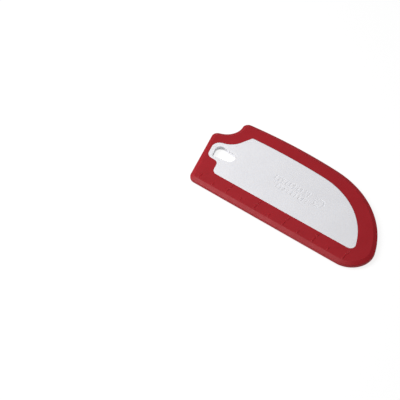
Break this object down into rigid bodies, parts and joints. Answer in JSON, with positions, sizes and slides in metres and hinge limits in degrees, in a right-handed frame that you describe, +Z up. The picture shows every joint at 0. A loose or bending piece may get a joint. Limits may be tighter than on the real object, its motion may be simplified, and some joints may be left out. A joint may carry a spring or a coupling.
{
  "type": "bench scraper",
  "caption": "Hand-held dough scraper: flat rigid plate with a soft bevelled rim, a straight ruled edge, a curved nose, a finger notch and a hang hole.",
  "frame": {"origin": "under the middle of the outline's box, on the face the scraper lies on", "axes": "+X along the straight ruled edge towards the rounded nose, +Y from that edge to the curved back, +Z up through the thickness, out of the ruled face"},
  "size_m": [0.164, 0.0774, 0.0045],
  "materials": {
    "white_plate": "white nylon, injection moulded with a fine satin texture",
    "red_silicone": "red silicone rubber, smooth and matt with a soft sheen"
  },
  "bodies": {
    "root": {"core_plate": "white_plate", "silicone_rim": "red_silicone"}
  },
  "joints": []
}
